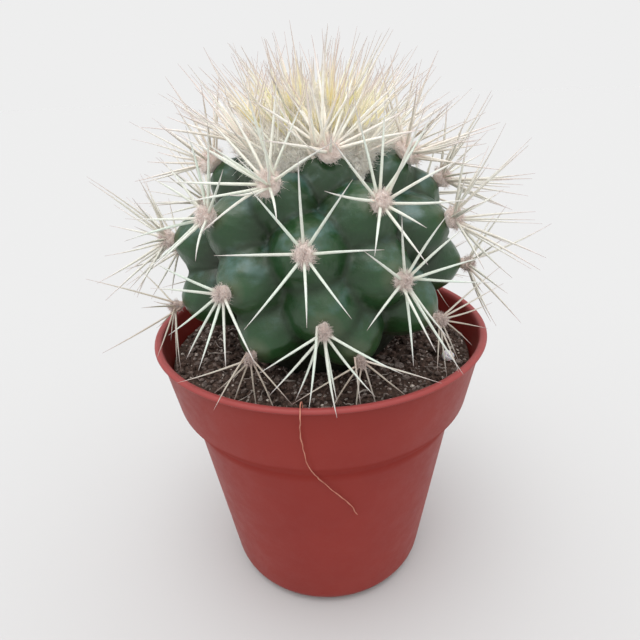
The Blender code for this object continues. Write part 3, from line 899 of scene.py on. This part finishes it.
def make_felt(number, areole, rng, finish):
    """One areole's felt pad: a lumpy mound under short hairs."""
    shape = Shape()
    size = float(np.interp(areole.latitude, PAD_LATITUDES, PAD_SIZES))
    shade = float(np.interp(areole.latitude, PAD_LATITUDES, PAD_SHADES))
    middle = areole.tip + areole.out * PAD_RAISE
    surface = add_mound(shape, areole, middle, size, PAD_DEPTH, PAD_TALL, PAD_SIDES, PAD_LUMPS, shade)
    places = [rng.choice(surface) for _ in range(PAD_HAIRS)]
    length = PAD_HAIR_LENGTH + PAD_HAIR_GAIN * size
    add_hairs(shape, places, rng, length, PAD_HAIR_THICKNESS, PAD_HAIR_SPREAD, shade)
    shape.piece(f"felt_{number:02d}", "spine_straw", finish)


def make_crown(spine_finish, wool_finish):
    """The woolly top: the CAD model's spines, more fine ones round them, and a mat of wool."""
    rng = random.Random(SEED)
    _, spines = read_cluster("crown_tuft")
    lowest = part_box("crown_tuft")[0][2] / MM
    crown = Areole(0, 90)
    crown.tip = np.array([0.0, 0.0, lowest])
    shape = Shape()
    for base, tip in spines:
        add_spine(shape, base, tip, CROWN_THICKNESS, rng, CROWN_YOUTH, CROWN_TONES)
    for ring, areoles, count, low_lean, high_lean, youth, share in YOUNG_RINGS:
        for index in range(areoles):
            clock = 360 * index / areoles + rng.uniform(-10, 10)
            raised = crown.out * (DOME_RAISE - DOME_FALL * ring**2)
            centre = crown.tip + crown.direction(clock, 0) * ring + raised
            for _ in range(count):
                turned = clock + rng.gauss(0, YOUNG_CLOCK_SPREAD)
                way = crown.direction(turned, rng.uniform(low_lean, high_lean))
                aside = [rng.uniform(-YOUNG_ROOT_SPREAD, YOUNG_ROOT_SPREAD) for _ in range(3)]
                base = centre + np.array(aside) * [1, 1, 0.2]
                tip = base + way * (rng.uniform(*YOUNG_LENGTHS) * share)
                thickness = rng.uniform(*YOUNG_THICKNESSES)
                add_spine(shape, base, tip, thickness, rng, youth, CROWN_TONES)
    shape.piece("crown_spines", "spine_straw", spine_finish, ["crown_tuft"])
    wool = Shape()
    middle = crown.tip - crown.out * WOOL_DROP
    surface = add_mound(
        wool, crown, middle, WOOL_RADIUS, WOOL_TALL, 1.0, WOOL_SIDES, WOOL_LUMPS, WOOL_SHADE
    )
    upper = [(place, normal) for place, normal in surface if normal[2] > WOOL_EDGE]
    lower = [(place, normal) for place, normal in surface if normal[2] <= WOOL_EDGE]
    for part, (count, length, spread) in ((upper, WOOL_LONG), (lower, WOOL_SHORT)):
        places = [rng.choice(part) for _ in range(count)]
        add_hairs(wool, places, rng, length, WOOL_HAIR_THICKNESS, spread, WOOL_HAIR_SHADE)
    wool.piece("crown_wool", "spine_straw", wool_finish)


# ------------------------------------------------------------------ pot


def pot_outline():
    """Outer outline of the pot as (radius, height), from the base's edge to under the lip."""
    points = []
    for turn in np.radians(np.linspace(-90, -6, 9)):
        radius = BASE_RADIUS - BASE_ROUND + BASE_ROUND * math.cos(turn)
        points.append((radius, BASE_ROUND * (1 + math.sin(turn))))
    return points + list(WALL_SECTION)


def radius_at(outline, height):
    """The outline's radius at a height."""
    radii, heights = zip(*outline)
    return float(np.interp(height, heights, radii))


def inner_radius(height):
    """The radius inside the pot's wall at a height."""
    return radius_at(pot_outline(), height) - POT_WALL


def make_pot(finish):
    """The pot: one turned cup with a thin wall, drilled through its base."""
    outline = pot_outline()
    inside = [point for point in outline if point[1] > BASE_THICKNESS + SOIL_GAP]
    inner = [(radius - POT_WALL, height) for radius, height in reversed(inside)]
    floor = [(BASE_RADIUS - BASE_ROUND, BASE_THICKNESS), (0, BASE_THICKNESS)]
    profile = rounded([(0, 0), *outline, *LIP_SECTION, *inner, *floor], EDGE_ROUND, EDGE_STEPS)
    points, faces = lathe(profile, POT_SIDES)
    shape = Shape()
    shape.add(points, faces, along=points[:, 2] / POT_HEIGHT)
    pot = shape.piece("nursery_pot", "pot_plastic", finish, ["pot"])
    cutters = []
    for index in range(DRAINS):
        turn = 2 * math.pi * (index + 0.5) / DRAINS
        drill = bmesh.new()
        bmesh.ops.create_cone(
            drill,
            cap_ends=True,
            segments=40,
            radius1=DRAIN_RADIUS * MM,
            radius2=DRAIN_RADIUS * MM,
            depth=4 * BASE_THICKNESS * MM,
        )
        place = Vector((DRAIN_CIRCLE * math.cos(turn), DRAIN_CIRCLE * math.sin(turn), 0)) * MM
        bmesh.ops.translate(drill, vec=place, verts=drill.verts)
        mesh = bpy.data.meshes.new("drill")
        drill.to_mesh(mesh)
        drill.free()
        cutter = bpy.data.objects.new(f"drill_{index}", mesh)
        bpy.context.scene.collection.objects.link(cutter)
        cut = pot.modifiers.new(f"drain_{index}", "BOOLEAN")
        cut.object = cutter
        cutters.append(cutter)
    settle(pot)
    for cutter in cutters:
        bpy.data.objects.remove(cutter)


def settle(piece):
    """Replaces a piece's mesh with what its modifiers make of it."""
    graph = bpy.context.evaluated_depsgraph_get()
    settled = bpy.data.meshes.new_from_object(piece.evaluated_get(graph))
    piece.modifiers.clear()
    piece.data = settled
    settled.shade_smooth()
    settled.set_sharp_from_angle(angle=math.radians(50))


# ------------------------------------------------------------------ soil


def soil_height(radius):
    """Height of the soil at a distance from the axis, outside the stem."""
    reach = inner_radius(SOIL_TOP_AT_WALL) - SOIL_CREST_RADIUS
    share = min(max((radius - SOIL_CREST_RADIUS) / reach, 0.0), 1.0)
    fall = SOIL_TOP_AT_STEM - SOIL_TOP_AT_WALL
    return SOIL_TOP_AT_STEM - fall * share**SOIL_SLOPE_POWER


def soil_top(x, y):
    """Height of the lumpy soil at a place."""
    radius = math.hypot(x, y)
    edge = inner_radius(SOIL_TOP_AT_WALL) - SOIL_GAP
    calm = min(1.0, max(0.0, (edge - radius) / 1.0))
    lumps = 0.55 * ripple((x, y, 3.0), 3.2, 4) + 0.16 * ripple((x, y, 9.0), 0.8, 2)
    return soil_height(radius) + lumps * calm


def make_soil(finish):
    """The body of soil: it follows the pot's inside, with a well for the stem's foot."""
    floor = BASE_THICKNESS + SOIL_GAP
    edge = inner_radius(SOIL_TOP_AT_WALL) - SOIL_GAP
    profile = [(0, floor), (BASE_RADIUS - BASE_ROUND - SOIL_GAP, floor)]
    for _, height in WALL_SECTION:
        if height < SOIL_TOP_AT_WALL:
            profile.append((inner_radius(height) - SOIL_GAP, height))
    profile.append((edge, SOIL_TOP_AT_WALL))
    foot = STEM_FOOT_Z - SOIL_GAP
    well = stem_radius_at(SOIL_TOP_AT_STEM) + SOIL_GAP
    first_top = len(profile)
    for radius in np.linspace(edge - 0.2, well + 0.2, SOIL_TOP_RINGS):
        profile.append((radius, soil_height(radius)))
    last_top = len(profile)
    profile += [(well, foot + 0.8), (well - 0.8, foot), (0, foot)]
    points, faces = lathe(profile, SOIL_SIDES)
    shades = np.full(len(points), 0.25)
    for row in range(first_top - 1, last_top - 1):
        for i in range(row * SOIL_SIDES, (row + 1) * SOIL_SIDES):
            x, y = points[i][:2]
            points[i][2] = soil_top(x, y)
            shades[i] = 0.22 + 0.35 * abs(ripple((x, y, 1.0), 1.2))
    shape = Shape()
    shape.add(points, faces, shade=shades)
    shape.piece("soil_bed", "soil_peat", finish, ["soil"])


def unit_ball(subdivisions):
    """Corners and faces of a ball of radius 1."""
    ball = bmesh.new()
    bmesh.ops.create_icosphere(ball, subdivisions=subdivisions, radius=1.0)
    points = np.array([corner.co[:] for corner in ball.verts])
    faces = [tuple(v.index for v in face.verts) for face in ball.faces]
    ball.free()
    return points, faces


def random_turn(rng):
    """A random rotation."""
    first = Matrix.Rotation(rng.uniform(0, 2 * math.pi), 3, "Z")
    tilt = Matrix.Rotation(rng.uniform(0, math.pi), 3, "X")
    return np.array(first @ tilt @ Matrix.Rotation(rng.uniform(0, 2 * math.pi), 3, "Z"))


def soil_place(rng, margin):
    """A random place on the soil between the stem and the wall."""
    inner = stem_radius_at(SOIL_TOP_AT_STEM) + 0.3
    outer = inner_radius(SOIL_TOP_AT_WALL) - SOIL_GAP - margin
    radius = math.sqrt(rng.uniform(inner**2, outer**2))
    turn = rng.uniform(0, 2 * math.pi)
    return radius * math.cos(turn), radius * math.sin(turn)


def add_crumb(shape, ball, size, flat, rough, shade, rng):
    """A rough lump, squashed and turned at random, somewhere on the soil."""
    points, faces = ball
    x, y = soil_place(rng, size)
    wide, deep = rng.uniform(0.75, 1.3), rng.uniform(0.65, 1.0)
    stretch = np.array([wide, deep, rng.uniform(0.5, 1.0) * flat])
    jitter = np.array([1 + rough * rng.uniform(-1, 1) for _ in points])[:, None]
    placed = (points * jitter * stretch) @ random_turn(rng).T * size
    placed = placed * [1, 1, 0.8] + [x, y, soil_top(x, y) + 0.35 * size]
    shape.add(placed, faces, shade=shade)


def make_crumbs(finish):
    """Peat crumbs and grit lying on the soil."""
    rng = random.Random(SEED + 1)
    ball = unit_ball(1)
    crumbs = Shape()
    for _ in range(CRUMBS):
        size = CRUMB_SIZES[0] + CRUMB_SIZES[1] * rng.random() ** 3
        add_crumb(crumbs, ball, size, 0.9, 0.25, rng.uniform(*CRUMB_SHADES), rng)
    crumbs.piece("soil_crumbs", "soil_peat", finish, smooth=False)
    grit = Shape()
    for _ in range(GRITS):
        size = GRIT_SIZES[0] + GRIT_SIZES[1] * rng.random() ** 2
        add_crumb(grit, ball, size, 0.8, 0.2, rng.choice(GRIT_SHADES), rng)
    grit.piece("soil_grit", "soil_peat", finish, smooth=False)


def make_strands(finish):
    """Bits of fibre and bark lying loose on the soil."""
    rng = random.Random(SEED + 2)
    limit = inner_radius(SOIL_TOP_AT_WALL) - SOIL_GAP - STRAND_CLEAR
    shape = Shape()
    for _ in range(STRANDS):
        x, y = soil_place(rng, STRAND_MARGIN)
        turn = rng.uniform(0, 2 * math.pi)
        length = rng.uniform(*STRAND_LENGTHS)
        curl = rng.uniform(-0.9, 0.9)
        line = []
        for step in np.linspace(-0.5, 0.5, len(STRAND_TAPER)):
            heading = turn + curl * step
            px = x + math.cos(heading) * length * step
            py = y + math.sin(heading) * length * step
            radius = math.hypot(px, py)
            if radius > limit:
                px, py = px * limit / radius, py * limit / radius
            line.append((px, py, soil_top(px, py) + 0.28 + 0.35 * (0.25 - step**2)))
        radii = np.array(STRAND_TAPER) * rng.uniform(*STRAND_THICKNESSES)
        points, faces, along = tube(line, radii, 5)
        shape.add(points, faces, along=along, shade=rng.uniform(*STRAND_SHADES))
    shape.piece("soil_strands", "soil_peat", finish)


def make_perlite(finish):
    """The pale foamed grain on the soil."""
    low, high = (np.array(corner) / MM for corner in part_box("perlite_grain"))
    middle, half = (low + high) / 2, (high - low) / 2
    points, faces = unit_ball(4)
    placed = []
    for point in points:
        swell = 1.02 + 0.10 * ripple(point + 4, 0.8) + 0.05 * ripple(point + 9, 0.25)
        placed.append(middle + point * half * swell - [0, 0, 0.15])
    shape = Shape()
    shape.add(placed, faces)
    shape.piece("perlite", "perlite_white", finish, ["perlite_grain"])


# ------------------------------------------------------------------ root fibre


def make_fibre(finish):
    """The fine dry root, from the soil over the lip and down the front of the pot."""
    outline = pot_outline()
    inside = inner_radius(SOIL_TOP_AT_WALL) - 1.1
    route = [(FIBRE_AZIMUTH, inside, SOIL_TOP_AT_WALL + FIBRE_OFF)]
    for from_lip, height in FIBRE_LIP:
        route.append((FIBRE_AZIMUTH, LIP_RADIUS + from_lip, height))
    for azimuth, height in FIBRE_ROUTE:
        route.append((azimuth, radius_at(outline, height) + FIBRE_OFF, height))
    points = []
    for azimuth, radius, height in route:
        turn = math.radians(azimuth - 90)
        points.append((radius * math.cos(turn), radius * math.sin(turn), height))
    line = smooth_route(points, FIBRE_SPAN_STEPS)
    wavy = []
    for point in line:
        aside = FIBRE_WAVE * ripple(point, 2.2, 2)
        wavy.append(point + np.array([aside, -0.05 * abs(aside), 0.0]))
    radii = [FIBRE_RADIUS + FIBRE_UNEVEN * ripple(point, 1.5, 2) for point in wavy]
    radii[-1] = radii[-2] = FIBRE_TIP_RADIUS
    shape = Shape()
    corners, faces, along = tube(wavy, radii, 8)
    shape.add(corners, faces, along=along)
    shape.piece("hanging_root", "root_beige", finish, ["root_fibre"])


# ------------------------------------------------------------------ studio


def make_floor():
    """A plain pale floor that runs out to the pale sky."""
    floor = bmesh.new()
    corners = []
    for i in range(FLOOR_SIDES):
        turn = 2 * math.pi * i / FLOOR_SIDES
        place = (FLOOR_RADIUS * math.cos(turn), FLOOR_RADIUS * math.sin(turn), 0)
        corners.append(floor.verts.new(place))
    floor.faces.new(corners)
    mesh = bpy.data.meshes.new("studio_floor")
    floor.to_mesh(mesh)
    floor.free()
    mesh.materials.append(floor_material())
    made = bpy.data.objects.new("studio_floor", mesh)
    bpy.context.scene.collection.objects.link(made)


def make_sky():
    """Soft light from all round, stronger from overhead."""
    world = bpy.data.worlds.new("studio")
    world.use_nodes = True
    tree = world.node_tree
    coords = tree.nodes.new("ShaderNodeTexCoord")
    parts = tree.nodes.new("ShaderNodeSeparateXYZ")
    tree.links.new(coords.outputs["Generated"], parts.inputs["Vector"])
    level = tree.nodes.new("ShaderNodeMapRange")
    level.inputs["From Min"].default_value = SKY_BAND
    level.inputs["From Max"].default_value = 1.0
    level.inputs["To Min"].default_value = SKY_HORIZON
    level.inputs["To Max"].default_value = SKY_TOP
    tree.links.new(parts.outputs["Z"], level.inputs["Value"])
    tree.links.new(level.outputs["Result"], tree.nodes["Background"].inputs["Strength"])
    tree.nodes["Background"].inputs["Color"].default_value = (1.0, 1.0, 1.0, 1.0)
    bpy.context.scene.world = world


def make_key():
    """A wide soft light from above."""
    lamp = bpy.data.lights.new("key", "SUN")
    lamp.angle = math.radians(KEY_SPREAD)
    lamp.energy = KEY_STRENGTH
    made = bpy.data.objects.new("key", lamp)
    made.rotation_euler = (-Vector(KEY_PLACE)).to_track_quat("-Z", "Y").to_euler()
    bpy.context.scene.collection.objects.link(made)


def make_camera():
    """The camera at the photograph's place. Its axes are the tilted ones turned by the roll."""
    lens = bpy.data.cameras.new("camera")
    lens.sensor_width = 36.0
    lens.lens = CAMERA_LENS
    lens.clip_start = 2 * MM
    lens.clip_end = 20.0
    camera = bpy.data.objects.new("camera", lens)
    down = math.radians(CAMERA_DOWN)
    roll = math.radians(CAMERA_ROLL)
    right = Vector((1, 0, 0))
    up = Vector((0, math.sin(down), math.cos(down)))
    ahead = Vector((0, math.cos(down), -math.sin(down)))
    rolled_right = right * math.cos(roll) - up * math.sin(roll)
    rolled_up = up * math.cos(roll) + right * math.sin(roll)
    turn = Matrix((rolled_right, rolled_up, -ahead)).transposed().to_4x4()
    camera.matrix_world = Matrix.Translation(Vector(CAMERA_PLACE) * MM) @ turn
    bpy.context.scene.collection.objects.link(camera)
    bpy.context.scene.camera = camera


make_camera()
make_floor()
make_sky()
make_key()
bpy.context.scene.view_settings.view_transform = "Standard"
make_pot(pot_material())
peat = soil_material("soil_peat")
make_soil(peat)
make_crumbs(peat)
make_strands(peat)
make_perlite(perlite_material())
make_fibre(root_material())
make_stem(stem_material())
ivory = spine_material()
felt = felt_material("areole_felt", (0.70, 0.56, 0.51), (0.90, 0.80, 0.75))
for number, (node, areole) in enumerate(zip(CLUSTERS, AREOLES), 1):
    rng = make_spines(number, node, areole, ivory)
    make_felt(number, areole, rng, felt)
make_crown(ivory, felt_material("crown_wool", (0.96, 0.94, 0.84), (1.0, 0.99, 0.95)))
